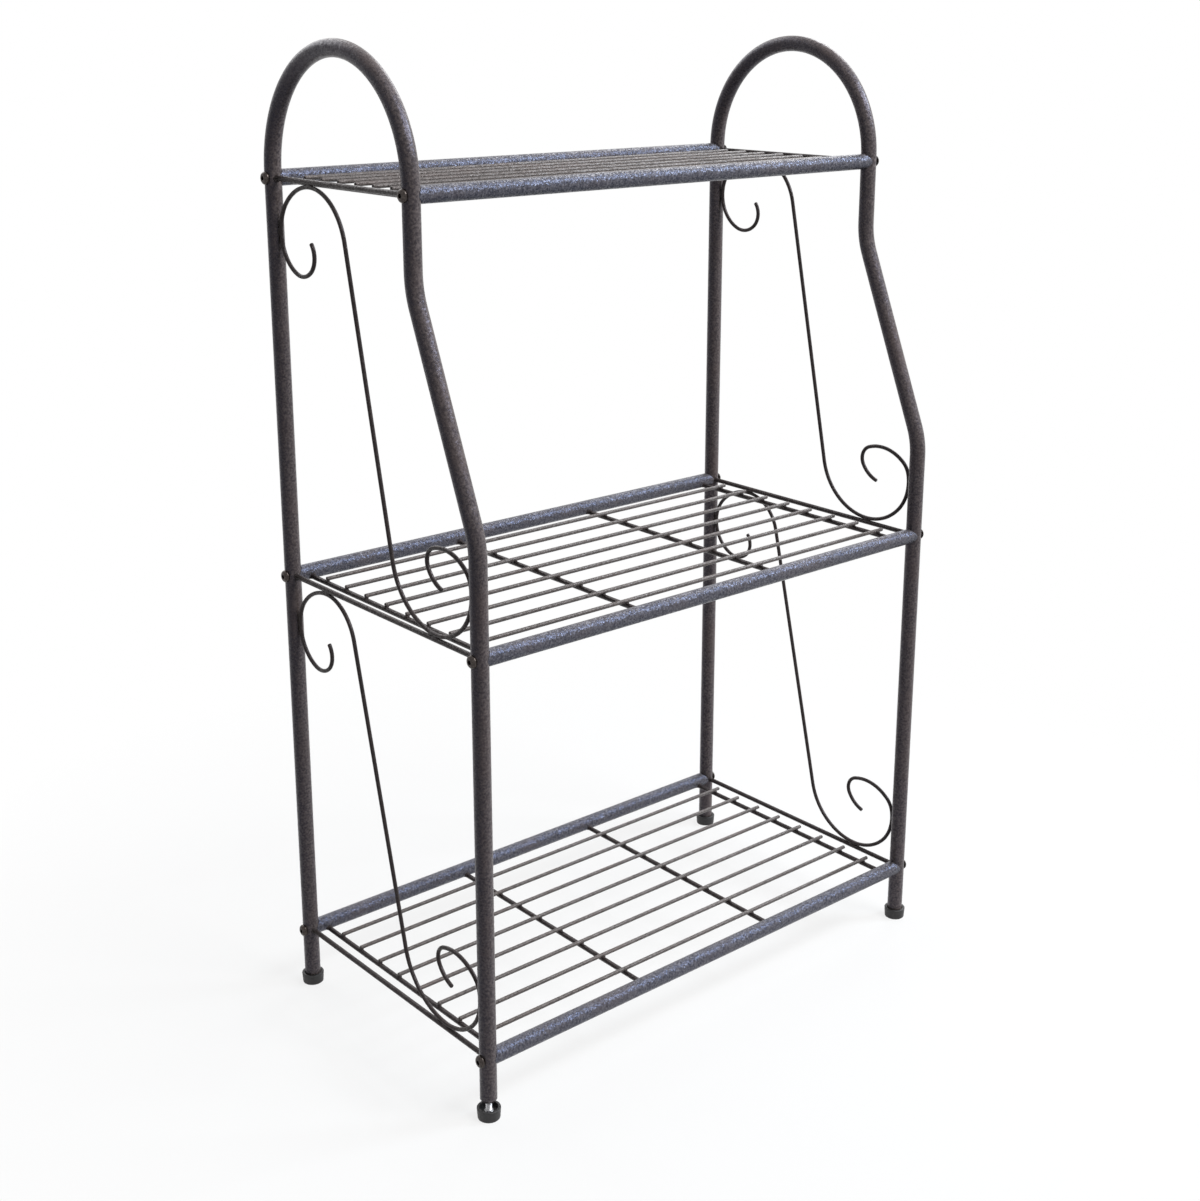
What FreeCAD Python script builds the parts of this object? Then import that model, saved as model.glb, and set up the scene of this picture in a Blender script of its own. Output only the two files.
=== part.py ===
import FreeCAD, Part
import math
import os

Vector = FreeCAD.Vector
Rotation = FreeCAD.Rotation
X_AXIS = Vector(1, 0, 0)
Y_AXIS = Vector(0, 1, 0)
Z_AXIS = Vector(0, 0, 1)
ORIGIN = Vector(0, 0, 0)

# Driving dimensions, in millimetres.
# X runs along the shelves, -Y is the front and Z is the height above the floor.

# Places of the tube axes.
frame_spacing = 568.0
depth_low = 306.0
depth_top = 223.0
bottom_shelf_z = 61.0
middle_shelf_z = 446.0
top_shelf_z = 829.0

# Side frame tube: rear leg, arch and stepped front leg in one piece.
leg_d = 16.0
leg_wall = 1.0
arch_above_top_shelf = 5.0
upper_bend_below_top_shelf = 79.0
lower_bend_above_middle_shelf = 102.0
bend_radius = 80.0

# Wires welded into the side frames.
side_rod_d = 5.0
scroll_d = 4.0
# Radius of the large arcs that lead from a scroll's straight run into its loops.
upper_scroll_top_arc_radius = 57.0
lower_scroll_top_arc_radius = 46.0
scroll_bottom_arc_radius = 66.0
# The curls beyond the top and the bottom of a scroll: radius and turn in degrees of each arc.
scroll_top_curl = ((58.0, 45.0), (38.5, 115.0), (25.0, 60.0), (18.0, 92.0))
scroll_bottom_curl = ((58.0, 45.0), (46.0, 55.0), (22.0, 40.0), (48.0, 60.0), (14.0, 100.0), (32.0, 45.0))

# Shelves: two rail tubes, cross wires between them a little below their axes, long wires on top.
rail_d = 15.5
rail_wall = 1.0
cross_wire_d = 5.0
cross_wire_count = 4
cross_wire_inset = 18.0
cross_wire_drop = 4.0
long_wire_d = 4.0
low_long_wire_count = 8
top_long_wire_count = 7
low_long_wire_edge = 34.0
top_long_wire_edge = 27.0
# How far the long wires reach past the last cross wire's axis.
long_wire_left_overhang = 1.0
long_wire_right_overhang = 7.0

# Bolts through the legs into nuts pressed into the rail ends.
bolt_d = 6.0
bolt_length = 34.0
bolt_head_d = 12.0
bolt_head_height = 3.3
bolt_head_edge = 0.9
bolt_head_crown_d = 5.4
bolt_socket_flats = 4.0
bolt_socket_depth = 2.2
nut_length = 20.0
nut_setback = 0.5

# Levelling feet: a cup-shaped pad with a stud that screws into a plug in the leg's end.
pad_height = 11.0
pad_wall = 2.55
pad_taper = 0.75
pad_edge_radius = 0.9
pad_recess_depth = 4.5
stud_d = 6.0
stud_length = 36.0
stud_anchor_depth = 4.0
stud_flange_width = 1.2
stud_flange_height = 1.0
plug_length = 20.0
plug_lip_height = 2.5
plug_lip_taper = 2.0
# How far the front left foot is screwed out; its leg is cut shorter by the same length.
front_left_foot_out = 10.0

# Clearances, measured on one side.
thread_gap = 0.05
seat_gap = 0.05
bolt_hole_gap = 0.25
pad_recess_gap = 0.7
foot_seat_gap = 0.2

# Places that follow from the dimensions.
side_x = frame_spacing / 2
rear_y = depth_low / 2
front_low_y = rear_y - depth_low
front_top_y = rear_y - depth_top
arch_z = top_shelf_z + arch_above_top_shelf
pad_recess_r = leg_d / 2 + pad_recess_gap
pad_rim_r = pad_recess_r + pad_wall
recess_floor_z = pad_height - pad_recess_depth
plug_tip_z = recess_floor_z + stud_flange_height + foot_seat_gap
leg_end_z = plug_tip_z + plug_lip_height

SIDES = {"left": -1, "right": 1}
low_wires = {"count": low_long_wire_count, "edge": low_long_wire_edge}
top_wires = {"count": top_long_wire_count, "edge": top_long_wire_edge}
SHELVES = {
    "top": {"z": top_shelf_z, "front_y": front_top_y, "wires": top_wires},
    "middle": {"z": middle_shelf_z, "front_y": front_low_y, "wires": low_wires},
    "bottom": {"z": bottom_shelf_z, "front_y": front_low_y, "wires": low_wires},
}
FOOT_OUT = {
    ("front", "left"): front_left_foot_out,
    ("front", "right"): 0.0,
    ("rear", "left"): 0.0,
    ("rear", "right"): 0.0,
}
LEG_Y = {"front": front_low_y, "rear": rear_y}


def heading_vector(angle):
    """Direction of travel in a side plane; angle 0 points to the rear, 90 degrees points up."""
    return Vector(0, math.cos(angle), math.sin(angle))


def left_of(angle):
    return heading_vector(angle + math.pi / 2)


def arc_step(start, heading, radius, turn):
    """One arc in a side plane: its edge, its end point and the heading there. Angles in radians."""
    to_center = left_of(heading) * math.copysign(radius, turn)
    center = start + to_center

    def point_at(share):
        swing = math.copysign(radius, turn)
        return center - left_of(heading + turn * share) * swing

    edge = Part.Arc(start, point_at(0.5), point_at(1.0)).toShape()
    return edge, point_at(1.0), heading + turn


def rounded_corner(before, corner, after, radius):
    """Tangent arc at a corner of a polyline: first point, middle point and last point."""
    back = (before - corner).normalize()
    ahead = (after - corner).normalize()
    half_angle = back.getAngle(ahead) / 2
    tangent = radius / math.tan(half_angle)
    bisector = (back + ahead).normalize()
    center = corner + bisector * (radius / math.sin(half_angle))
    middle = center - bisector * radius
    return corner + back * tangent, middle, corner + ahead * tangent


def line(start, end):
    return Part.LineSegment(start, end).toShape()


def rod_along(edges, diameter):
    """Round bar swept along a chain of tangent edges."""
    path = Part.Wire(Part.__sortEdges__(edges))
    first = path.OrderedEdges[0]
    at_start = first.firstVertex(True).Point
    tangent = first.tangentAt(first.FirstParameter)
    profile = Part.Wire(Part.Circle(at_start, tangent, diameter / 2).toShape())
    return path.makePipeShell([profile], True, False)


def x_rod(diameter, length, y, z):
    """Round bar of the given length along X, centred on X = 0."""
    return Part.makeCylinder(diameter / 2, length, Vector(-length / 2, y, z), X_AXIS)


def y_rod(diameter, start_y, end_y, x, z):
    return Part.makeCylinder(diameter / 2, end_y - start_y, Vector(x, start_y, z), Y_AXIS)


# Side frames.

def frame_path(rear_end_z, front_end_z):
    """Axis of a side frame tube in the plane X = 0, from the rear leg's end to the front leg's end."""
    rear_foot = Vector(0, rear_y, rear_end_z)
    rear_spring = Vector(0, rear_y, arch_z)
    arch_top = Vector(0, rear_y - depth_top / 2, arch_z + depth_top / 2)
    front_spring = Vector(0, front_top_y, arch_z)
    upper_corner = Vector(0, front_top_y, top_shelf_z - upper_bend_below_top_shelf)
    lower_corner = Vector(0, front_low_y, middle_shelf_z + lower_bend_above_middle_shelf)
    front_foot = Vector(0, front_low_y, front_end_z)
    upper_bend = rounded_corner(front_spring, upper_corner, lower_corner, bend_radius)
    lower_bend = rounded_corner(upper_corner, lower_corner, front_foot, bend_radius)
    return [
        line(rear_foot, rear_spring),
        Part.Arc(rear_spring, arch_top, front_spring).toShape(),
        line(front_spring, upper_bend[0]),
        Part.Arc(*upper_bend).toShape(),
        line(upper_bend[2], lower_bend[0]),
        Part.Arc(*lower_bend).toShape(),
        line(lower_bend[2], front_foot),
    ]


def frame_bar(side):
    """The side frame tube as a solid bar, at its place."""
    path = frame_path(leg_end_z + FOOT_OUT["rear", side], leg_end_z + FOOT_OUT["front", side])
    bar = rod_along(path, leg_d)
    bar.translate(Vector(SIDES[side] * side_x, 0, 0))
    return bar


def frame_bore(side):
    path = frame_path(leg_end_z + FOOT_OUT["rear", side], leg_end_z + FOOT_OUT["front", side])
    bore = rod_along(path, leg_d - 2 * leg_wall)
    bore.translate(Vector(SIDES[side] * side_x, 0, 0))
    return bore


def frame_tube(side, bar):
    """Hollow side frame tube with a cross hole for each shelf bolt."""
    tube = bar.cut(frame_bore(side))
    for shelf in SHELVES.values():
        for y in (shelf["front_y"], rear_y):
            start = Vector(SIDES[side] * side_x - leg_d, y, shelf["z"])
            tube = tube.cut(Part.makeCylinder(bolt_d / 2 + bolt_hole_gap, 2 * leg_d, start, X_AXIS))
    return tube


def side_rod(side, shelf, bar):
    """Rod from leg to leg at a shelf's height, its ends coped to the legs."""
    rod = y_rod(side_rod_d, shelf["front_y"], rear_y, SIDES[side] * side_x, shelf["z"])
    return rod.cut(bar)


def curl_reach(curl):
    """How far a curl reaches sideways before it has turned by a quarter turn."""
    reach = 0.0
    turned = 0.0
    quarter = math.pi / 2
    for radius, degrees in curl:
        end = min(turned + math.radians(degrees), quarter)
        reach += radius * (math.sin(end) - math.sin(turned))
        turned = end
    return reach


def curl_edges(start, heading, curl):
    """Arcs of a curl that turns clockwise, seen with the rear on the right."""
    edges = []
    point = start
    for radius, degrees in curl:
        edge, point, heading = arc_step(point, heading, radius, -math.radians(degrees))
        edges.append(edge)
    return edges


def scroll(side, upper_z, lower_z, top_arc_radius):
    """S-shaped wire between two side rods, tangent to both rods and to both legs."""
    rod_to_scroll = (side_rod_d + scroll_d) / 2 + seat_gap
    leg_to_scroll = (leg_d + scroll_d) / 2 + seat_gap
    top = Vector(0, rear_y - leg_to_scroll - curl_reach(scroll_top_curl), upper_z - rod_to_scroll)
    bottom = Vector(0, front_low_y + leg_to_scroll + curl_reach(scroll_bottom_curl), lower_z + rod_to_scroll)
    to_rear = 0.0
    to_front = math.pi
    # The straight run is the inner common tangent of the two large arcs.
    top_center = top - Z_AXIS * top_arc_radius
    bottom_center = bottom + Z_AXIS * scroll_bottom_arc_radius
    between = bottom_center - top_center
    lean = math.asin((top_arc_radius + scroll_bottom_arc_radius) / between.Length)
    straight_heading = math.atan2(between.z, between.y) % (2 * math.pi) + lean
    turn = straight_heading - to_front
    top_arc, run_start = arc_step(top, to_front, top_arc_radius, turn)[:2]
    # Followed backwards from the bottom point, the lower arc turns the same way as the upper one.
    bottom_arc, run_end = arc_step(bottom, to_rear, scroll_bottom_arc_radius, turn)[:2]
    edges = curl_edges(top, to_rear, scroll_top_curl)
    edges += [top_arc, line(run_start, run_end), bottom_arc]
    edges += curl_edges(bottom, to_front, scroll_bottom_curl)
    wire = rod_along(edges, scroll_d)
    wire.translate(Vector(SIDES[side] * side_x, 0, 0))
    return wire


# Shelves.

def rail(y, z, bars):
    """Rail tube from side frame to side frame, its ends coped to the legs."""
    tube = x_rod(rail_d, frame_spacing, y, z).cut(x_rod(rail_d - 2 * rail_wall, frame_spacing, y, z))
    for bar in bars:
        tube = tube.cut(bar)
    return tube


def cross_wires(shelf):
    """Wires from rail to rail, evenly spaced, their ends coped to the rails."""
    z = shelf["z"] - cross_wire_drop
    first_x = cross_wire_inset - side_x
    pitch = -2 * first_x / (cross_wire_count - 1)
    rail_bars = [x_rod(rail_d, frame_spacing, y, shelf["z"]) for y in (shelf["front_y"], rear_y)]
    wires = []
    for index in range(cross_wire_count):
        wire = y_rod(cross_wire_d, shelf["front_y"], rear_y, first_x + index * pitch, z)
        wires.append(wire.cut(rail_bars))
    return wires


def long_wires(shelf):
    """Wires that lie on the cross wires, evenly spaced from the front rail to the rear rail."""
    left_x = cross_wire_inset - side_x - long_wire_left_overhang
    right_x = side_x - cross_wire_inset + long_wire_right_overhang
    z = shelf["z"] - cross_wire_drop + (cross_wire_d + long_wire_d) / 2 + seat_gap
    count = shelf["wires"]["count"]
    edge = shelf["wires"]["edge"]
    first_y = shelf["front_y"] + edge
    pitch = (rear_y - edge - first_y) / (count - 1)
    wires = []
    for index in range(count):
        start = Vector(left_x, first_y + index * pitch, z)
        wires.append(Part.makeCylinder(long_wire_d / 2, right_x - left_x, start, X_AXIS))
    return wires


def facing_out(shape, side, y, z, outward):
    """Turn a shape that points up so that it points out of a side frame, outward from the leg's axis."""
    turned = shape.copy()
    turned.rotate(ORIGIN, Y_AXIS, SIDES[side] * 90)
    turned.translate(Vector(SIDES[side] * (side_x + outward), y, z))
    return turned


def bolt():
    """Button head bolt that points down from the origin, with a hexagon socket in its head."""
    edge = Vector(bolt_head_d / 2, 0, bolt_head_edge)
    crown = Vector(bolt_head_crown_d / 2, 0, bolt_head_height)
    rise = crown.z - edge.z
    inset = edge.x - crown.x
    # The dome meets the flat crown smoothly, so its centre lies below the crown's edge.
    dome_radius = (rise ** 2 + inset ** 2) / (2 * rise)
    half = math.asin(inset / dome_radius) / 2
    middle = crown + Vector(dome_radius * math.sin(half), 0, dome_radius * (math.cos(half) - 1))
    outline = [
        line(ORIGIN, Vector(edge.x, 0, 0)),
        line(Vector(edge.x, 0, 0), edge),
        Part.Arc(edge, middle, crown).toShape(),
        line(crown, Vector(0, 0, crown.z)),
        line(Vector(0, 0, crown.z), ORIGIN),
    ]
    head = Part.Face(Part.Wire(outline)).revolve(ORIGIN, Z_AXIS, 360)
    corner = Vector(bolt_socket_flats / math.sqrt(3), 0, bolt_head_height - bolt_socket_depth)
    corners = [Rotation(Z_AXIS, 60 * index).multVec(corner) for index in range(6)]
    socket = Part.Face(Part.makePolygon(corners + corners[:1])).extrude(Z_AXIS * bolt_head_height)
    shank = Part.makeCylinder(bolt_d / 2, bolt_length, Vector(0, 0, -bolt_length))
    return Part.Solid(head).cut(socket).fuse(shank).removeSplitter()


def shelf_bolts(shelf):
    outward = leg_d / 2 + seat_gap
    return [
        facing_out(bolt(), side, y, shelf["z"], outward)
        for side in SIDES
        for y in (shelf["front_y"], rear_y)
    ]


def rail_nuts(shelf):
    """Threaded slugs in the rail ends, just inside the legs."""
    nut_d = rail_d - 2 * rail_wall - 2 * seat_gap
    nut = Part.makeCylinder(nut_d / 2, nut_length, Vector(0, 0, -nut_length))
    nut = nut.cut(Part.makeCylinder(bolt_d / 2 + thread_gap, nut_length, Vector(0, 0, -nut_length)))
    outward = -(leg_d / 2 + nut_setback)
    return [
        facing_out(nut, side, y, shelf["z"], outward)
        for side in SIDES
        for y in (shelf["front_y"], rear_y)
    ]


# Levelling feet, each on the axis of its leg.

def leg_plug(out):
    """Threaded plug in the leg's end, with a tapered lip below the tube."""
    plug_d = leg_d - 2 * leg_wall - 2 * seat_gap
    body = Part.makeCylinder(plug_d / 2, plug_length, Vector(0, 0, leg_end_z))
    lip_tip_r = leg_d / 2 - plug_lip_taper
    lip = Part.makeCone(lip_tip_r, leg_d / 2, plug_lip_height, Vector(0, 0, plug_tip_z))
    hole_length = plug_lip_height + plug_length
    hole = Part.makeCylinder(stud_d / 2 + thread_gap, hole_length, Vector(0, 0, plug_tip_z))
    plug = body.fuse(lip).cut(hole).removeSplitter()
    plug.translate(Z_AXIS * out)
    return plug


def foot_stud():
    """Stud that stands in the pad, with a flange on the floor of the pad's recess."""
    bottom_z = recess_floor_z - stud_anchor_depth
    top_z = recess_floor_z + stud_flange_height + stud_length
    shank = Part.makeCylinder(stud_d / 2, top_z - bottom_z, Vector(0, 0, bottom_z))
    flange_z = recess_floor_z + seat_gap
    flange_r = stud_d / 2 + stud_flange_width
    flange = Part.makeCylinder(flange_r, stud_flange_height - seat_gap, Vector(0, 0, flange_z))
    return shank.fuse(flange).removeSplitter()


def foot_pad():
    """Cup-shaped pad with rounded outer edges and a blind hole for the stud."""
    cup = Part.makeCone(pad_rim_r - pad_taper, pad_rim_r, pad_height)
    round_edges = [edge for edge in cup.Edges if edge.Closed]
    cup = cup.makeFillet(pad_edge_radius, round_edges)
    recess = Part.makeCylinder(pad_recess_r, pad_height, Vector(0, 0, recess_floor_z))
    hole_z = recess_floor_z - stud_anchor_depth - seat_gap
    hole = Part.makeCylinder(stud_d / 2 + thread_gap, pad_height, Vector(0, 0, hole_z))
    return cup.cut(recess).cut(hole)


def save(name, solids):
    shape = solids[0] if len(solids) == 1 else Part.makeCompound(solids)
    shape.exportStep(os.path.join("parts", name + ".step"))


def main():
    os.makedirs("parts", exist_ok=True)
    bars = {side: frame_bar(side) for side in SIDES}
    for side, bar in bars.items():
        save(side + "_frame_tube", [frame_tube(side, bar)])
        for name, shelf in SHELVES.items():
            save(side + "_" + name + "_side_rod", [side_rod(side, shelf, bar)])
        upper_scroll = scroll(side, top_shelf_z, middle_shelf_z, upper_scroll_top_arc_radius)
        save(side + "_upper_scroll", [upper_scroll])
        lower_scroll = scroll(side, middle_shelf_z, bottom_shelf_z, lower_scroll_top_arc_radius)
        save(side + "_lower_scroll", [lower_scroll])
    for name, shelf in SHELVES.items():
        save(name + "_shelf_front_rail", [rail(shelf["front_y"], shelf["z"], bars.values())])
        save(name + "_shelf_rear_rail", [rail(rear_y, shelf["z"], bars.values())])
        save(name + "_shelf_cross_wires", cross_wires(shelf))
        save(name + "_shelf_long_wires", long_wires(shelf))
        save(name + "_shelf_bolts", shelf_bolts(shelf))
        save(name + "_shelf_rail_nuts", rail_nuts(shelf))
    for (end, side), out in FOOT_OUT.items():
        at = Vector(SIDES[side] * side_x, LEG_Y[end], 0)
        pieces = {"leg_plug": leg_plug(out), "foot_stud": foot_stud(), "foot_pad": foot_pad()}
        for name, piece in pieces.items():
            piece.translate(at)
            save(end + "_" + side + "_" + name, [piece])


main()
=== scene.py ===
import math
import bmesh
import bpy
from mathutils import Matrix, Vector


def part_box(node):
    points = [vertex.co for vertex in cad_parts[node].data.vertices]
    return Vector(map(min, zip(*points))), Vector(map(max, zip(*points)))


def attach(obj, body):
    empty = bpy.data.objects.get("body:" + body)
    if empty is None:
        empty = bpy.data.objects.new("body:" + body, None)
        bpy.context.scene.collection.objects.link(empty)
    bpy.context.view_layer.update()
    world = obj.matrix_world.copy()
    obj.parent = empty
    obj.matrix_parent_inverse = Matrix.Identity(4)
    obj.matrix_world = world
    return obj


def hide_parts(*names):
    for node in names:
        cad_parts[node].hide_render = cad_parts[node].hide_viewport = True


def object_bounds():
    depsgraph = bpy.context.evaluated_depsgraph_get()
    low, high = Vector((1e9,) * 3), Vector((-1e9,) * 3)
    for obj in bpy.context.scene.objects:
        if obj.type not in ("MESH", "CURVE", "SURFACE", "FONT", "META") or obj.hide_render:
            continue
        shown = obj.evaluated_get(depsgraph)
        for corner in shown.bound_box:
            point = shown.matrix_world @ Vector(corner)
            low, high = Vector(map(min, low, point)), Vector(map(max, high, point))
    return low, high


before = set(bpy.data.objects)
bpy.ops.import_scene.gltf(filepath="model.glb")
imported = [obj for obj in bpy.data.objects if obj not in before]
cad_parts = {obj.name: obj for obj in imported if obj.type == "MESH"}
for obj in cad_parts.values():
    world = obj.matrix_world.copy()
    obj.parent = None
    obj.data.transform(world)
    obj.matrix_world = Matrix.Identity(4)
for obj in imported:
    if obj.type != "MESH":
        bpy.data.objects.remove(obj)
cad_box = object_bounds()

QUARTER = math.pi / 2
FULL_TURN = 2 * math.pi
HEX_STEP = FULL_TURN / 6


def middle(node):
    low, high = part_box(node)
    return (low + high) / 2


def span(node):
    low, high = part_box(node)
    return high - low


# Places and sizes from the frame, in metres. -Y is the front and Z is the height above the floor.
SIDES = {"left": -1, "right": 1}
ENDS = ("front", "rear")
# A point on each shelf's front rail: its y is the rail's place in depth and its z the shelf's height.
SHELVES = {name: middle(name + "_shelf_front_rail") for name in ("top", "middle", "bottom")}
# The shelves above and below each scroll.
LEVELS = {"upper": (SHELVES["top"], SHELVES["middle"]), "lower": (SHELVES["middle"], SHELVES["bottom"])}
side_x = middle("right_frame_tube").x
rear_y = middle("middle_shelf_rear_rail").y
leg_r = span("right_frame_tube").x / 2
rail_r = span("middle_shelf_front_rail").z / 2
rod_r = span("right_middle_side_rod").x / 2
scroll_r = span("right_upper_scroll").x / 2
cross_wire_r = span("middle_shelf_cross_wires").z / 2
long_wire_r = span("middle_shelf_long_wires").z / 2

# Side frame tube.
tube_wall = 0.001
arch_rise = 0.005
upper_bend_drop = 0.079
lower_bend_rise = 0.102
bend_radius = 0.080
plug_lip_height = 0.0025

# Scrolls: the large arcs, and radius and turn in degrees of each arc of the curls.
top_arc_radii = {"upper": 0.057, "lower": 0.046}
bottom_arc_radius = 0.066
top_curl = ((0.058, 45), (0.0385, 115), (0.025, 60), (0.018, 92))
bottom_curl = ((0.058, 45), (0.046, 55), (0.022, 40), (0.048, 60), (0.014, 100), (0.032, 45))

# Shelf wires.
cross_wire_count = 4
long_wire_counts = {"top": 7, "middle": 8, "bottom": 8}

# Button head bolts.
bolt_r = 0.003
bolt_length = 0.034
bolt_head_r = 0.006
bolt_head_height = 0.0033
bolt_head_edge = 0.0009
bolt_head_round = 0.00015
bolt_crown_r = 0.0027
bolt_tip_chamfer = 0.0006
socket_flat_r = 0.002
socket_depth = 0.0022
socket_point_r = 0.0005

# Studs of the levelling feet.
stud_r = 0.003
thread_pitch = 0.001
thread_depth = 0.0005
stud_anchor = 0.004
flange_r = 0.0042
flange_height = 0.001

# Small details of the joints.
seat_gap = 0.00005
joint_gap = 0.0003
end_round = 0.0003
# Softened end of a wire: distance from the cut, and share of the wire's radius there.
wire_end_profile = ((0.0, 0.55), (0.00012, 0.78), (0.0004, 0.95), (0.0008, 1.0))
# Weld at a rod's end: distance from the tube that it is welded to, and how far the metal stands out.
weld_profile = (
    (-0.0004, 0.0014),
    (0.0001, 0.0012),
    (0.0006, 0.0008),
    (0.0013, 0.0004),
    (0.0023, 0.00012),
    (0.0036, 0.0),
)
# How far down the side of a rail a weld reaches, as a share of the rail's radius.
weld_reach = 0.9
spot_weld_half_axes = Vector((0.0024, 0.0028, 0.0010))
scroll_weld_half_axes = Vector((0.0021, 0.0058, 0.0017))
leg_weld_half_axes = Vector((0.0021, 0.0014, 0.0050))
# Waves that make weld metal uneven: share of its size, bumps round it and along it, and seed factor.
rod_weld_waves = ((0.30, 2, 0, 1.0), (0.18, 5, 0, 2.3))
drop_weld_waves = ((0.10, 2, 0, 1.0), (0.07, 3, 3, 2.0))
# Steps of the seed, so that no two welds near each other look alike.
height_seed_step = 40
level_seed_step = 1.7
touch_seed_steps = (0.0, 0.6, 1.1, 1.9)
row_seed_step = 1.3
column_seed_step = 0.7

# Fineness of the meshes.
TUBE_SIDES = 48
WIRE_SIDES = 20
BOLT_SIDES = 48
STUD_SIDES = 32
DOME_STEPS = 8
THREAD_STEPS = 8
WELD_SIDES = 16
WELD_RINGS = 9
ARC_STEP = math.radians(3)
SHARP_ANGLE = math.radians(38)


class Shell:
    """Vertices and faces of one piece, gathered loop by loop."""

    def __init__(self):
        self.vertices = []
        self.faces = []

    def loop(self, points):
        first = len(self.vertices)
        self.vertices.extend(points)
        return range(first, len(self.vertices))

    def bridge(self, one, other):
        count = len(one)
        for index in range(count):
            after = (index + 1) % count
            self.faces.append((one[index], one[after], other[after], other[index]))

    def tunnel(self, rings):
        """Join a row of rings of points and close both ends."""
        loops = [self.loop(ring) for ring in rings]
        for one, other in zip(loops, loops[1:]):
            self.bridge(one, other)
        self.faces.append(tuple(loops[0]))
        self.faces.append(tuple(loops[-1]))

    def hollow(self, rings):
        """Join a row of rings of points, and the last ring to the first."""
        loops = [self.loop(ring) for ring in rings]
        for one, other in zip(loops, loops[1:] + loops[:1]):
            self.bridge(one, other)

    def piece(self, name, material, slot, body, nodes):
        """The shell as an object that rides on a body and stands for CAD nodes."""
        mesh = bpy.data.meshes.new(name)
        mesh.from_pydata(self.vertices, [], self.faces)
        shape = bmesh.new()
        shape.from_mesh(mesh)
        bmesh.ops.recalc_face_normals(shape, faces=shape.faces)
        shape.to_mesh(mesh)
        shape.free()
        mesh.shade_smooth()
        mesh.set_sharp_from_angle(angle=SHARP_ANGLE)
        mesh.materials.append(material)
        made = bpy.data.objects.new(name, mesh)
        bpy.context.scene.collection.objects.link(made)
        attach(made, body)
        if nodes:
            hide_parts(*nodes)


def turns(count):
    """Angles of count points spread evenly round a circle."""
    return [FULL_TURN * index / count for index in range(count)]


def uneven(waves, seed, angle, polar=0.0):
    """Factor near 1 by which weld metal swells at an angle round it and an angle along it."""
    swell = 1.0
    for share, around, along, seed_factor in waves:
        swell += share * math.sin(around * angle + along * polar + seed_factor * seed)
    return swell


def heading_vector(angle):
    """Direction of travel in a side plane; angle 0 points to the rear, a quarter turn points up."""
    return Vector((0, math.cos(angle), math.sin(angle)))


class Route:
    """A smooth line in a side plane: its points, and the heading at each point."""

    def __init__(self, y, z, heading):
        self.points = [Vector((0, y, z))]
        self.headings = [heading]

    def run(self, length):
        heading = self.headings[-1]
        self.points.append(self.points[-1] + heading_vector(heading) * length)
        self.headings.append(heading)

    def arc(self, radius, turn):
        """Follow an arc; a positive turn is to the left, seen with the rear on the right."""
        heading = self.headings[-1]
        swing = math.copysign(radius, turn)
        center = self.points[-1] + heading_vector(heading + QUARTER) * swing
        steps = math.ceil(abs(turn) / ARC_STEP)
        for step in range(1, steps + 1):
            angle = heading + turn * step / steps
            self.points.append(center - heading_vector(angle + QUARTER) * swing)
            self.headings.append(angle)

    def curl(self, arcs):
        for radius, degrees in arcs:
            self.arc(radius, -math.radians(degrees))

    def led_by(self, other):
        """Put another route, followed backwards, before this one; both start at the same point."""
        self.points = other.points[:0:-1] + self.points
        self.headings = [angle + math.pi for angle in other.headings[:0:-1]] + self.headings

    def ring(self, index, radius, sides, x, along=0.0):
        """Ring of points round one point of the route, moved along its heading."""
        heading = self.headings[index]
        center = self.points[index] + Vector((x, 0, 0)) + heading_vector(heading) * along
        across = heading_vector(heading + QUARTER)
        return [
            center + Vector((radius * math.cos(angle), 0, 0)) + across * (radius * math.sin(angle))
            for angle in turns(sides)
        ]


# Side frames.

def leg_end_z(end, side):
    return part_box(end + "_" + side + "_leg_plug")[0].z + plug_lip_height


def frame_route(side):
    """Axis of a side frame tube: up the rear leg, over the arch and down the stepped front leg."""
    top = SHELVES["top"]
    low_y = SHELVES["middle"].y
    arch_z = top.z + arch_rise
    upper_z = top.z - upper_bend_drop
    lower_z = SHELVES["middle"].z + lower_bend_rise
    lean = math.atan2(top.y - low_y, upper_z - lower_z)
    tangent = bend_radius * math.tan(lean / 2)
    route = Route(rear_y, leg_end_z("rear", side), QUARTER)
    route.run(arch_z - leg_end_z("rear", side))
    route.arc((rear_y - top.y) / 2, math.pi)
    route.run(arch_z - upper_z - tangent)
    route.arc(bend_radius, -lean)
    route.run(math.hypot(top.y - low_y, upper_z - lower_z) - 2 * tangent)
    route.arc(bend_radius, lean)
    route.run(lower_z - tangent - leg_end_z("front", side))
    return route


def frame_tube(side):
    """Bent tube with its bore and softened ends."""
    route = frame_route(side)
    x = SIDES[side] * side_x
    last = len(route.points) - 1
    outside = [route.ring(0, leg_r - end_round, TUBE_SIDES, x)]
    outside.append(route.ring(0, leg_r, TUBE_SIDES, x, end_round))
    outside += [route.ring(index, leg_r, TUBE_SIDES, x) for index in range(1, last)]
    outside.append(route.ring(last, leg_r, TUBE_SIDES, x, -end_round))
    outside.append(route.ring(last, leg_r - end_round, TUBE_SIDES, x))
    bore = [route.ring(index, leg_r - tube_wall, TUBE_SIDES, x) for index in range(last, -1, -1)]
    shell = Shell()
    shell.hollow(outside + bore)
    return shell


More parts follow.
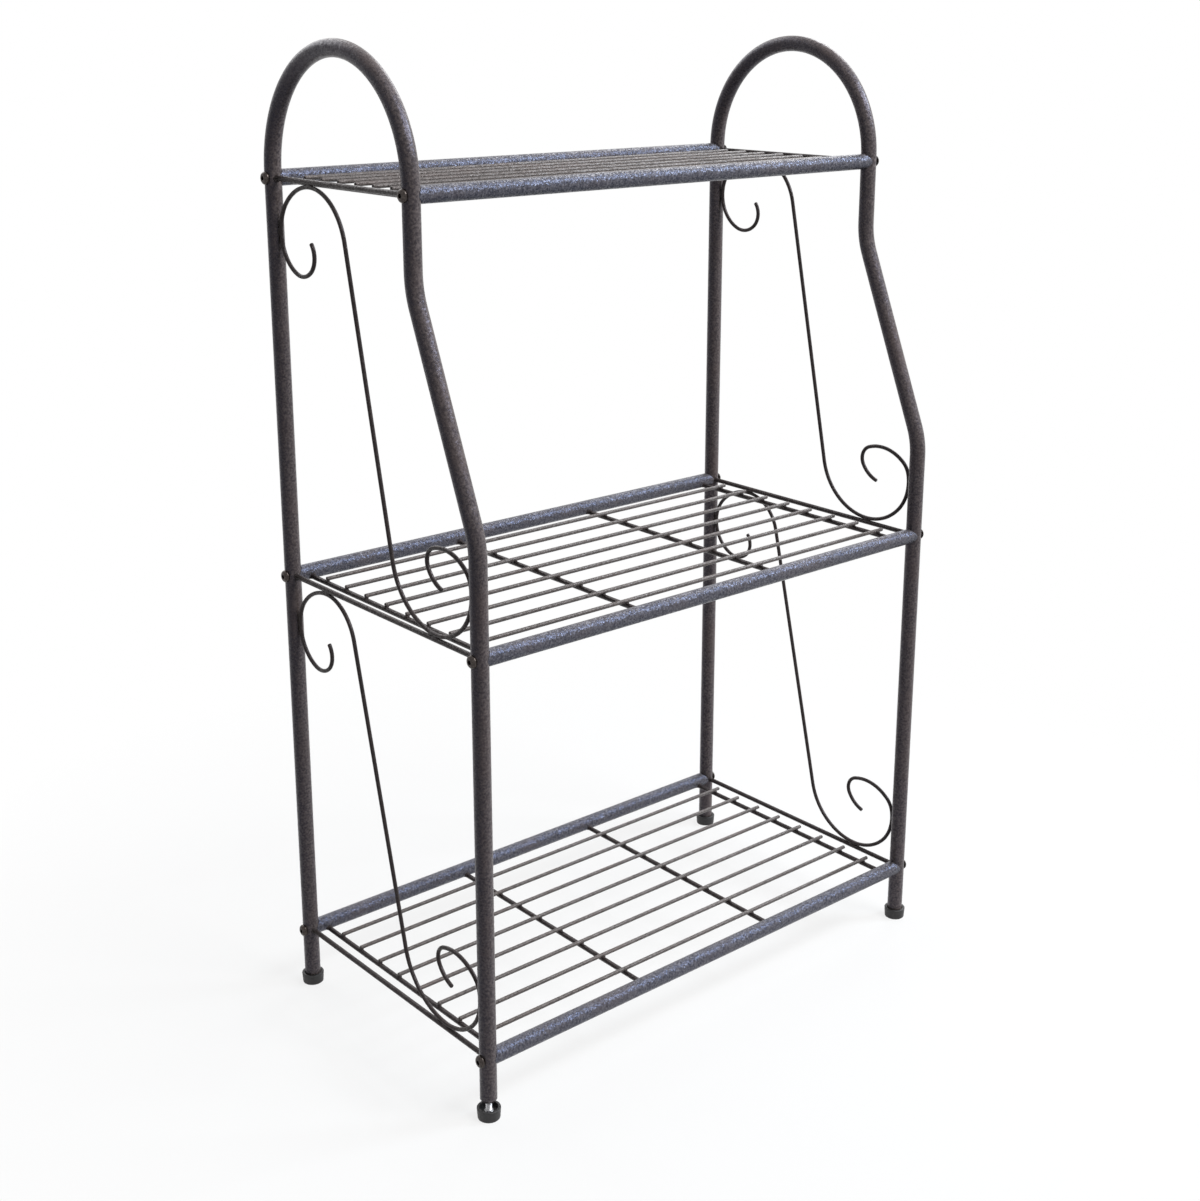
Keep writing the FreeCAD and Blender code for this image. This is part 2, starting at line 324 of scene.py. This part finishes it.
def welded_rod(shell, x, z, radius, front_y, seat_r, seat_z, seed):
    """Rod from a front tube to a rear tube, flared into a weld at both ends.

    seat_z is the height of the tubes' axes where they lie along X, and None where they stand upright.
    """

    def ring(seat_y, direction, along, flare):
        points = []
        for angle in turns(WIRE_SIDES):
            surface_r = radius + flare * uneven(rod_weld_waves, seed, angle)
            dx = surface_r * math.cos(angle)
            dz = surface_r * math.sin(angle)
            if seat_z is not None:
                dz = max(dz, seat_z - z - weld_reach * seat_r)
            offset = dx if seat_z is None else z + dz - seat_z
            reach = math.sqrt(seat_r ** 2 - offset ** 2) + along
            points.append(Vector((x + dx, seat_y + direction * reach, z + dz)))
        return points

    rings = [ring(front_y, 1, along, flare) for along, flare in weld_profile]
    rings += [ring(rear_y, -1, along, flare) for along, flare in reversed(weld_profile)]
    shell.tunnel(rings)


def side_rod(side, shelf):
    shell = Shell()
    seed = height_seed_step * shelf.z + SIDES[side]
    welded_rod(shell, SIDES[side] * side_x, shelf.z, rod_r, shelf.y, leg_r, None, seed)
    return shell


def curl_reach(arcs):
    """How far a curl reaches sideways before it has turned by a quarter turn."""
    reach = 0.0
    turned = 0.0
    for radius, degrees in arcs:
        end = min(turned + math.radians(degrees), QUARTER)
        reach += radius * (math.sin(end) - math.sin(turned))
        turned = end
    return reach


def scroll_ends(upper, lower):
    """Where a scroll touches the rod above it and the rod below it."""
    to_rod = rod_r + scroll_r + seat_gap
    to_leg = leg_r + scroll_r + seat_gap
    top = Vector((0, rear_y - to_leg - curl_reach(top_curl), upper.z - to_rod))
    bottom = Vector((0, lower.y + to_leg + curl_reach(bottom_curl), lower.z + to_rod))
    return top, bottom


def scroll_route(level):
    """Centre line of an S scroll, from the end of its top curl to the end of its bottom curl."""
    top, bottom = scroll_ends(*LEVELS[level])
    top_arc_radius = top_arc_radii[level]
    between = bottom - top + Vector((0, 0, top_arc_radius + bottom_arc_radius))
    lean = math.asin((top_arc_radius + bottom_arc_radius) / between.length)
    turn = math.atan2(between.z, between.y) % FULL_TURN + lean - math.pi
    straight = math.sqrt(between.length ** 2 - (top_arc_radius + bottom_arc_radius) ** 2)
    upper_part = Route(top.y, top.z, 0.0)
    upper_part.curl(top_curl)
    route = Route(top.y, top.z, math.pi)
    route.arc(top_arc_radius, turn)
    route.run(straight)
    route.arc(bottom_arc_radius, -turn)
    route.curl(bottom_curl)
    route.led_by(upper_part)
    return route


def scroll(side, level):
    """Bent wire with softened ends."""
    route = scroll_route(level)
    x = SIDES[side] * side_x
    last = len(route.points) - 1
    rings = [route.ring(0, scroll_r * share, WIRE_SIDES, x, along) for along, share in wire_end_profile]
    rings += [route.ring(index, scroll_r, WIRE_SIDES, x) for index in range(1, last)]
    ending = reversed(wire_end_profile)
    rings += [route.ring(last, scroll_r * share, WIRE_SIDES, x, -along) for along, share in ending]
    shell = Shell()
    shell.tunnel(rings)
    return shell


def weld_lump(shell, center, half_axes, seed):
    """Uneven drop of weld metal, long or flat as its half axes say."""
    rings = []
    for step in range(1, WELD_RINGS):
        polar = math.pi * step / WELD_RINGS
        ring = []
        for angle in turns(WELD_SIDES):
            swell = uneven(drop_weld_waves, seed, angle, polar)
            ring.append(center + Vector((
                half_axes.x * swell * math.sin(polar) * math.cos(angle),
                half_axes.y * swell * math.sin(polar) * math.sin(angle),
                half_axes.z * swell * math.cos(polar),
            )))
        rings.append(ring)
    shell.tunnel(rings)


def scroll_welds(side):
    """Welds where the scrolls touch the side rods and the legs."""
    shell = Shell()
    x = SIDES[side] * side_x
    for number, (level, (upper, lower)) in enumerate(LEVELS.items()):
        top, bottom = scroll_ends(upper, lower)
        points = scroll_route(level).points
        rearmost = max(points, key=lambda point: point.y)
        foremost = min(points, key=lambda point: point.y)
        touches = (
            (top.y, upper.z - rod_r, scroll_weld_half_axes),
            (bottom.y, lower.z + rod_r, scroll_weld_half_axes),
            (rear_y - leg_r, rearmost.z, leg_weld_half_axes),
            (lower.y + leg_r, foremost.z, leg_weld_half_axes),
        )
        seed = level_seed_step * number + SIDES[side]
        for (y, z, half_axes), step in zip(touches, touch_seed_steps):
            weld_lump(shell, Vector((x, y, z)), half_axes, seed + step)
    return shell


# Shelves.

def rail(y, z):
    """Tube from side frame to side frame, its ends fitted round the legs."""

    def ring(side, radius, gap):
        points = []
        for angle in turns(TUBE_SIDES):
            dy = radius * math.cos(angle)
            reach = side_x - math.sqrt(leg_r ** 2 - dy ** 2) - gap
            points.append(Vector((side * reach, y + dy, z + radius * math.sin(angle))))
        return points

    shell = Shell()
    shell.hollow([
        ring(-1, rail_r - end_round, joint_gap),
        ring(-1, rail_r, joint_gap + end_round),
        ring(1, rail_r, joint_gap + end_round),
        ring(1, rail_r - end_round, joint_gap),
        ring(1, rail_r - tube_wall, joint_gap),
        ring(-1, rail_r - tube_wall, joint_gap),
    ])
    return shell


def even_places(low, high, count):
    return [low + (high - low) * index / (count - 1) for index in range(count)]


def cross_wire_places(name):
    low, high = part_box(name + "_shelf_cross_wires")
    return even_places(low.x + cross_wire_r, high.x - cross_wire_r, cross_wire_count)


def long_wire_places(name):
    low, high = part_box(name + "_shelf_long_wires")
    return even_places(low.y + long_wire_r, high.y - long_wire_r, long_wire_counts[name])


def cross_wires(name):
    shell = Shell()
    shelf = SHELVES[name]
    z = middle(name + "_shelf_cross_wires").z
    for number, x in enumerate(cross_wire_places(name)):
        seed = height_seed_step * shelf.z + number
        welded_rod(shell, x, z, cross_wire_r, shelf.y, rail_r, shelf.z, seed)
    return shell


def long_wires(name):
    """Straight wires whose cut ends are softened."""
    shell = Shell()
    low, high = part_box(name + "_shelf_long_wires")
    z = (low.z + high.z) / 2

    def ring(x, y, radius):
        return [
            Vector((x, y + radius * math.cos(angle), z + radius * math.sin(angle)))
            for angle in turns(WIRE_SIDES)
        ]

    for y in long_wire_places(name):
        rings = [ring(low.x + along, y, long_wire_r * share) for along, share in wire_end_profile]
        ending = reversed(wire_end_profile)
        rings += [ring(high.x - along, y, long_wire_r * share) for along, share in ending]
        shell.tunnel(rings)
    return shell


def spot_welds(name):
    """Lumps where the long wires are welded on the cross wires."""
    shell = Shell()
    z = middle(name + "_shelf_cross_wires").z + cross_wire_r
    for row, x in enumerate(cross_wire_places(name)):
        for column, y in enumerate(long_wire_places(name)):
            seed = row_seed_step * row + column_seed_step * column
            weld_lump(shell, Vector((x, y, z)), spot_weld_half_axes, seed)
    return shell


def bolt(shell, side, y, z):
    """Button head bolt that points out of a side frame, with a hexagon socket."""
    seat_x = side_x + leg_r + seat_gap

    def point(height, radius, angle):
        x = side * (seat_x + height)
        return Vector((x, y + radius * math.cos(angle), z + radius * math.sin(angle)))

    def ring(height, radius):
        return [point(height, radius, angle) for angle in turns(BOLT_SIDES)]

    def hexagon(height, flat_r):
        points = []
        for angle in turns(BOLT_SIDES):
            from_flat = angle % HEX_STEP - HEX_STEP / 2
            points.append(point(height, flat_r / math.cos(from_flat), angle))
        return points

    rise = bolt_head_height - bolt_head_edge
    inset = bolt_head_r - bolt_crown_r
    dome_radius = (rise ** 2 + inset ** 2) / (2 * rise)
    dome_angle = math.asin(inset / dome_radius)
    rings = [
        ring(-bolt_length, bolt_r - bolt_tip_chamfer),
        ring(bolt_tip_chamfer - bolt_length, bolt_r),
        ring(0, bolt_r),
        ring(0, bolt_head_r - end_round),
        ring(bolt_head_round, bolt_head_r),
    ]
    for step in range(DOME_STEPS + 1):
        angle = dome_angle * (1 - step / DOME_STEPS)
        height = bolt_head_height - dome_radius * (1 - math.cos(angle))
        rings.append(ring(height, bolt_crown_r + dome_radius * math.sin(angle)))
    rings += [
        hexagon(bolt_head_height, socket_flat_r + bolt_head_round),
        hexagon(bolt_head_height - bolt_head_round, socket_flat_r),
        hexagon(bolt_head_height - socket_depth, socket_flat_r),
        ring(bolt_head_height - socket_depth - end_round, socket_point_r),
    ]
    shell.tunnel(rings)


def shelf_bolts(name):
    shell = Shell()
    for side in SIDES.values():
        for y in (SHELVES[name].y, rear_y):
            bolt(shell, side, y, SHELVES[name].z)
    return shell


# Levelling feet.

def foot_stud(foot):
    """Threaded stud with a flange that rests on the floor of the pad."""
    low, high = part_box(foot + "_foot_stud")
    axis = (low + high) / 2
    flange_z = low.z + stud_anchor
    thread_z = flange_z + flange_height

    def point(z, radius, angle):
        return Vector((axis.x + radius * math.cos(angle), axis.y + radius * math.sin(angle), z))

    def ring(z, radius):
        return [point(z, radius, angle) for angle in turns(STUD_SIDES)]

    def thread_ring(z):
        """Ring across the thread, tapered where it nears the stud's upper end."""
        points = []
        widest = min(stud_r, stud_r - thread_depth + (high.z - z))
        for angle in turns(STUD_SIDES):
            phase = FULL_TURN * (z - thread_z) / thread_pitch - angle
            radius = stud_r - thread_depth * (1 - math.cos(phase)) / 2
            points.append(point(z, min(radius, widest), angle))
        return points

    rings = [
        ring(low.z, stud_r - end_round),
        ring(low.z + end_round, stud_r),
        ring(flange_z, stud_r),
        ring(flange_z, flange_r - end_round),
        ring(flange_z + end_round, flange_r),
        ring(thread_z - end_round, flange_r),
        ring(thread_z, flange_r - end_round),
    ]
    steps = round((high.z - thread_z) / thread_pitch * THREAD_STEPS)
    rings += [thread_ring(z) for z in even_places(thread_z, high.z, steps)]
    shell = Shell()
    shell.tunnel(rings)
    return shell


# Materials.

class Finish:
    """A node material with one Principled shader, patterned in the object's own metres."""

    def __init__(self, name):
        self.material = bpy.data.materials.new(name)
        self.material.use_nodes = True
        self.nodes = self.material.node_tree.nodes
        self.links = self.material.node_tree.links
        self.shader = self.nodes["Principled BSDF"]
        self.place = self.nodes.new("ShaderNodeTexCoord").outputs["Object"]

    def feed(self, target, value):
        """Set a socket to a number or a colour, or link it to a pattern."""
        if isinstance(value, bpy.types.NodeSocket):
            self.links.new(value, target)
        else:
            target.default_value = value

    def set(self, socket, value):
        self.feed(self.shader.inputs[socket], value)

    def noise(self, size, detail):
        """Noise with lumps about as wide as size."""
        node = self.nodes.new("ShaderNodeTexNoise")
        node.inputs["Scale"].default_value = 1 / size
        node.inputs["Detail"].default_value = detail
        self.links.new(self.place, node.inputs["Vector"])
        return node.outputs["Fac"]

    def cells(self, size):
        """A random colour for each of many small cells."""
        node = self.nodes.new("ShaderNodeTexVoronoi")
        node.inputs["Scale"].default_value = 1 / size
        self.links.new(self.place, node.inputs["Vector"])
        return node.outputs["Color"]

    def ramp(self, value, stops):
        """Colours at places from 0 to 1."""
        node = self.nodes.new("ShaderNodeValToRGB")
        elements = node.color_ramp.elements
        while len(elements) < len(stops):
            elements.new(1.0)
        for element, (position, color) in zip(elements, stops):
            element.position = position
            element.color = (*color, 1.0)
        self.links.new(value, node.inputs["Fac"])
        return node.outputs["Color"]

    def spread(self, value, low, high, to_low, to_high):
        """Map the range low to high onto to_low to to_high."""
        node = self.nodes.new("ShaderNodeMapRange")
        limits = {"From Min": low, "From Max": high, "To Min": to_low, "To Max": to_high}
        for socket, number in limits.items():
            node.inputs[socket].default_value = number
        self.links.new(value, node.inputs["Value"])
        return node.outputs["Result"]

    def gloss(self, size, detail, smooth, rough):
        """Set a roughness that differs from patch to patch."""
        patches = self.noise(size, detail)
        self.set("Roughness", self.spread(patches, low=0.3, high=0.7, to_low=smooth, to_high=rough))

    def mix(self, factor, first, color):
        """Blend a pattern towards one colour."""
        node = self.nodes.new("ShaderNodeMix")
        node.data_type = "RGBA"
        self.links.new(factor, node.inputs["Factor"])
        self.links.new(first, node.inputs["A"])
        node.inputs["B"].default_value = (*color, 1.0)
        return node.outputs["Result"]

    def bump(self, height, distance):
        node = self.nodes.new("ShaderNodeBump")
        node.inputs["Distance"].default_value = distance
        self.links.new(height, node.inputs["Height"])
        return node.outputs["Normal"]

    def vector(self, operation, *values):
        """Vector arithmetic on patterns and constants."""
        node = self.nodes.new("ShaderNodeVectorMath")
        node.operation = operation
        for target, value in zip(node.inputs, values):
            self.feed(target, value)
        return node.outputs["Vector"]

    def tilt(self, normal, colors, amount):
        """Tip the normal of each cell to a side of its own."""
        centered = self.vector("SUBTRACT", colors, (0.5, 0.5, 0.5))
        offset = self.vector("MULTIPLY", centered, (amount, amount, amount))
        return self.vector("NORMALIZE", self.vector("ADD", normal, offset))


def hammered_paint(name, dark, light, brown, gleam, sheen, grain):
    """Hammertone paint: a mottled coat with shallow dimples and a coloured, grainy sheen."""
    finish = Finish(name)
    coat = finish.ramp(finish.noise(size=0.0022, detail=3), [(0.36, dark), (0.64, light)])
    patches = finish.noise(size=0.045, detail=4)
    worn = finish.spread(patches, low=0.48, high=0.72, to_low=0.0, to_high=0.55)
    finish.set("Base Color", finish.mix(worn, coat, brown))
    finish.gloss(size=0.0016, detail=2, smooth=0.26, rough=0.36)
    finish.set("Specular IOR Level", gleam)
    finish.set("Specular Tint", (*sheen, 1.0))
    dimples = finish.bump(finish.noise(size=0.0024, detail=2), distance=0.0002)
    finish.set("Normal", finish.tilt(dimples, finish.cells(size=0.0012), grain))
    return finish.material


def bolt_steel():
    """Black oxide steel with a thin brown cast."""
    finish = Finish("bolt_black_oxide")
    finish.set("Base Color", finish.ramp(finish.noise(size=0.0016, detail=4), [
        (0.35, (0.034, 0.028, 0.026)),
        (0.70, (0.076, 0.064, 0.059)),
    ]))
    finish.set("Metallic", 0.9)
    finish.gloss(size=0.0009, detail=3, smooth=0.26, rough=0.38)
    finish.set("Normal", finish.bump(finish.noise(size=0.0006, detail=2), distance=0.00004))
    return finish.material


def zinc_steel():
    """Bright zinc plate, a little uneven."""
    finish = Finish("bright_zinc")
    finish.set("Base Color", finish.ramp(finish.noise(size=0.0022, detail=3), [
        (0.30, (0.36, 0.36, 0.37)),
        (0.70, (0.56, 0.56, 0.58)),
    ]))
    finish.set("Metallic", 1.0)
    finish.gloss(size=0.0011, detail=3, smooth=0.34, rough=0.50)
    finish.set("Normal", finish.bump(finish.noise(size=0.0005, detail=2), distance=0.00003))
    return finish.material


def black_plastic():
    """Satin moulded plastic with a fine grain and a few lighter scuffs."""
    finish = Finish("moulded_black_plastic")
    coat = finish.ramp(finish.noise(size=0.004, detail=4), [
        (0.35, (0.013, 0.012, 0.013)),
        (0.70, (0.024, 0.022, 0.023)),
    ])
    patches = finish.noise(size=0.0015, detail=5)
    scuffs = finish.spread(patches, low=0.62, high=0.80, to_low=0.0, to_high=0.6)
    finish.set("Base Color", finish.mix(scuffs, coat, (0.055, 0.051, 0.050)))
    finish.gloss(size=0.003, detail=3, smooth=0.42, rough=0.60)
    finish.set("Normal", finish.bump(finish.noise(size=0.00045, detail=2), distance=0.00005))
    return finish.material


tube_paint = hammered_paint(
    "tube_hammertone",
    dark=(0.060, 0.049, 0.047),
    light=(0.180, 0.150, 0.143),
    brown=(0.148, 0.111, 0.096),
    gleam=0.32,
    sheen=(0.62, 0.64, 0.95),
    grain=0.18,
)
# Copy of the tube paint for the rails, which really have the same paint as the legs. Its darker coat is
# painted shade on their undersides, and its stronger, bluer sheen is painted highlight for the light
# that the rails catch.
lit_rail_paint = hammered_paint(
    "lit_rail_hammertone",
    dark=(0.048, 0.044, 0.048),
    light=(0.158, 0.147, 0.157),
    brown=(0.125, 0.102, 0.095),
    gleam=0.50,
    sheen=(0.46, 0.58, 1.0),
    grain=0.50,
)
# Copy of the same paint with a lighter coat: painted light on the long wires, which catch the light
# from above.
wire_paint = hammered_paint(
    "lit_shelf_wire_hammertone",
    dark=(0.090, 0.078, 0.074),
    light=(0.190, 0.168, 0.161),
    brown=(0.155, 0.120, 0.110),
    gleam=0.30,
    sheen=(1.0, 0.95, 0.95),
    grain=0.28,
)
# Copy of the same paint with a much darker coat: painted shade on the side rods, scrolls, cross wires
# and welds, which really have the same paint as the long wires.
shaded_wire_paint = hammered_paint(
    "shaded_wire_hammertone",
    dark=(0.026, 0.021, 0.021),
    light=(0.060, 0.050, 0.049),
    brown=(0.060, 0.045, 0.041),
    gleam=0.20,
    sheen=(1.0, 0.88, 0.92),
    grain=0.28,
)
bolt_finish = bolt_steel()
zinc_finish = zinc_steel()
plastic_finish = black_plastic()


# Pieces.

def dress(node, material):
    """Give a CAD node that keeps its shape a finished material."""
    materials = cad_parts[node].data.materials
    materials.clear()
    materials.append(material)


for side in SIDES:
    tube_name = side + "_frame_tube"
    frame_tube(side).piece(side + "_side_frame", tube_paint, "hammered_paint", "stand", [tube_name])
    for name, shelf in SHELVES.items():
        bar_name = side + "_" + name + "_side_bar"
        rod_name = side + "_" + name + "_side_rod"
        side_rod(side, shelf).piece(bar_name, shaded_wire_paint, "wire_paint", "stand", [rod_name])
    for level in LEVELS:
        scroll_name = side + "_" + level + "_scroll"
        wire = scroll(side, level)
        wire.piece(scroll_name + "_wire", shaded_wire_paint, "wire_paint", "stand", [scroll_name])
    scroll_welds(side).piece(side + "_scroll_welds", shaded_wire_paint, "wire_paint", "stand", [])

for name, shelf in SHELVES.items():
    shelf_name = name + "_shelf_"
    for end, y in zip(ENDS, (shelf.y, rear_y)):
        rail_name = shelf_name + end + "_rail"
        rail(y, shelf.z).piece(rail_name + "_tube", lit_rail_paint, "hammered_paint", "stand", [rail_name])
    wires_name = shelf_name + "cross_wires"
    bars = cross_wires(name)
    bars.piece(shelf_name + "cross_bars", shaded_wire_paint, "wire_paint", "stand", [wires_name])
    wires_name = shelf_name + "long_wires"
    rows = long_wires(name)
    rows.piece(shelf_name + "wire_rows", wire_paint, "wire_paint", "stand", [wires_name])
    welds = spot_welds(name)
    welds.piece(shelf_name + "spot_welds", shaded_wire_paint, "wire_paint", "stand", [])
    bolts_name = shelf_name + "bolts"
    bolts = shelf_bolts(name)
    bolts.piece(shelf_name + "button_bolts", bolt_finish, "bolt_steel", "stand", [bolts_name])
    dress(shelf_name + "rail_nuts", zinc_finish)

for end in ENDS:
    for side in SIDES:
        foot = end + "_" + side
        stud = foot_stud(foot)
        stud_name = foot + "_foot_stud"
        stud.piece(foot + "_threaded_stud", zinc_finish, "zinc_steel", foot + "_stud", [stud_name])
        dress(foot + "_leg_plug", tube_paint)
        dress(foot + "_foot_pad", plastic_finish)


# Studio.

def white_to_viewer(tree):
    """1 for rays that show the background or its reflection, 0 for rays that carry its light."""
    path = tree.nodes.new("ShaderNodeLightPath")
    total = path.outputs["Is Camera Ray"]
    for name in ("Is Glossy Ray", "Is Transmission Ray"):
        node = tree.nodes.new("ShaderNodeMath")
        node.operation = "MAXIMUM"
        tree.links.new(total, node.inputs[0])
        tree.links.new(path.outputs[name], node.inputs[1])
        total = node.outputs["Value"]
    return total


def studio_world(ambient):
    """White all round, with a plain level of light from every side."""
    world = bpy.data.worlds.new("studio")
    world.use_nodes = True
    tree = world.node_tree
    background = tree.nodes["Background"]
    background.inputs["Color"].default_value = (1, 1, 1, 1)
    strength = tree.nodes.new("ShaderNodeMapRange")
    strength.inputs["To Min"].default_value = ambient
    tree.links.new(white_to_viewer(tree), strength.inputs["Value"])
    tree.links.new(strength.outputs["Result"], background.inputs["Strength"])
    bpy.context.scene.world = world


def studio_floor(reach, drop, fade_start, fade_end, shadow_share, whiteness, bounce):
    """Floor that keeps the shadow near the object and lets the white background show through it.

    A foot that is screwed out past the floor's level still shows, faintly. bounce is how much of
    the light that falls on the floor near the object comes back from it.
    """
    mesh = bpy.data.meshes.new("floor")
    corners = [(-reach, -reach, 0), (reach, -reach, 0), (reach, reach, 0), (-reach, reach, 0)]
    mesh.from_pydata(corners, [], [(0, 1, 2, 3)])
    floor = bpy.data.objects.new("floor", mesh)
    floor.location.z = -drop
    bpy.context.scene.collection.objects.link(floor)
    material = bpy.data.materials.new("white_floor")
    material.use_nodes = True
    mesh.materials.append(material)
    tree = material.node_tree
    tree.nodes.remove(tree.nodes["Principled BSDF"])
    seen = white_to_viewer(tree)
    place = tree.nodes.new("ShaderNodeTexCoord")
    distance = tree.nodes.new("ShaderNodeVectorMath")
    distance.operation = "LENGTH"
    tree.links.new(place.outputs["Object"], distance.inputs[0])

    def fade(near, far):
        node = tree.nodes.new("ShaderNodeMapRange")
        limits = {"From Min": fade_start, "From Max": fade_end, "To Min": near, "To Max": far}
        for socket, number in limits.items():
            node.inputs[socket].default_value = number
        tree.links.new(distance.outputs["Value"], node.inputs["Value"])
        return node.outputs["Result"]

    shade = tree.nodes.new("ShaderNodeMapRange")
    shade.inputs["To Max"].default_value = whiteness
    tree.links.new(seen, shade.inputs["Value"])
    tree.links.new(fade(bounce, 0.0), shade.inputs["To Min"])
    diffuse = tree.nodes.new("ShaderNodeBsdfDiffuse")
    tree.links.new(shade.outputs["Result"], diffuse.inputs["Color"])
    clear = tree.nodes.new("ShaderNodeBsdfTransparent")
    share = tree.nodes.new("ShaderNodeMath")
    share.operation = "MULTIPLY"
    tree.links.new(seen, share.inputs[0])
    tree.links.new(fade(1 - shadow_share, 1.0), share.inputs[1])
    blend = tree.nodes.new("ShaderNodeMixShader")
    tree.links.new(share.outputs["Value"], blend.inputs[0])
    tree.links.new(diffuse.outputs["BSDF"], blend.inputs[1])
    tree.links.new(clear.outputs["BSDF"], blend.inputs[2])
    tree.links.new(blend.outputs["Shader"], tree.nodes["Material Output"].inputs["Surface"])


def toward(azimuth, elevation):
    """Direction from the object; azimuth 0 is the front, positive to the right, both in degrees."""
    a = math.radians(azimuth)
    e = math.radians(elevation)
    return Vector((math.sin(a) * math.cos(e), -math.cos(a) * math.cos(e), math.sin(e)))


def soft_light(name, azimuth, elevation, width, height, power, color=(1.0, 1.0, 1.0)):
    """Soft box that faces the middle of the object."""
    distance = 4.0
    lamp = bpy.data.lights.new(name, "AREA")
    lamp.shape = "RECTANGLE"
    lamp.size = width
    lamp.size_y = height
    lamp.energy = power
    lamp.color = color
    holder = bpy.data.objects.new(name, lamp)
    direction = toward(azimuth, elevation)
    aim = (cad_box[0] + cad_box[1]) / 2
    holder.location = aim + direction * distance
    holder.rotation_euler = direction.to_track_quat("Z", "Y").to_euler()
    bpy.context.scene.collection.objects.link(holder)


def photo_camera():
    """Camera at the photograph's viewing angle."""
    focal_pixels = 1709.1
    image_height = 1201
    sensor = 36.0
    shift = -0.085
    place = (-1.0880, -1.2527, 0.9635)
    direction = toward(azimuth=-40.45, elevation=15.46)
    data = bpy.data.cameras.new("camera")
    data.sensor_width = sensor
    data.lens = focal_pixels / image_height * sensor
    data.shift_y = shift
    camera = bpy.data.objects.new("camera", data)
    camera.location = place
    camera.rotation_euler = direction.to_track_quat("Z", "Y").to_euler()
    bpy.context.scene.collection.objects.link(camera)
    bpy.context.scene.camera = camera


bpy.context.scene.view_settings.view_transform = "Standard"
studio_world(ambient=0.04)
studio_floor(
    reach=6.0,
    drop=0.0002,
    fade_start=0.30,
    fade_end=0.9,
    shadow_share=0.2,
    whiteness=0.9,
    bounce=0.42,
)
cool_white = (0.84, 0.92, 1.0)
soft_light("key", azimuth=22, elevation=48, width=1.6, height=1.6, power=100)
soft_light("side", azimuth=60, elevation=36, width=1.0, height=1.0, power=100, color=cool_white)
soft_light("top", azimuth=30, elevation=80, width=1.6, height=1.6, power=10)
soft_light("far side", azimuth=115, elevation=35, width=1.6, height=1.6, power=35)
soft_light("back", azimuth=180, elevation=35, width=3.2, height=2.4, power=45)
photo_camera()
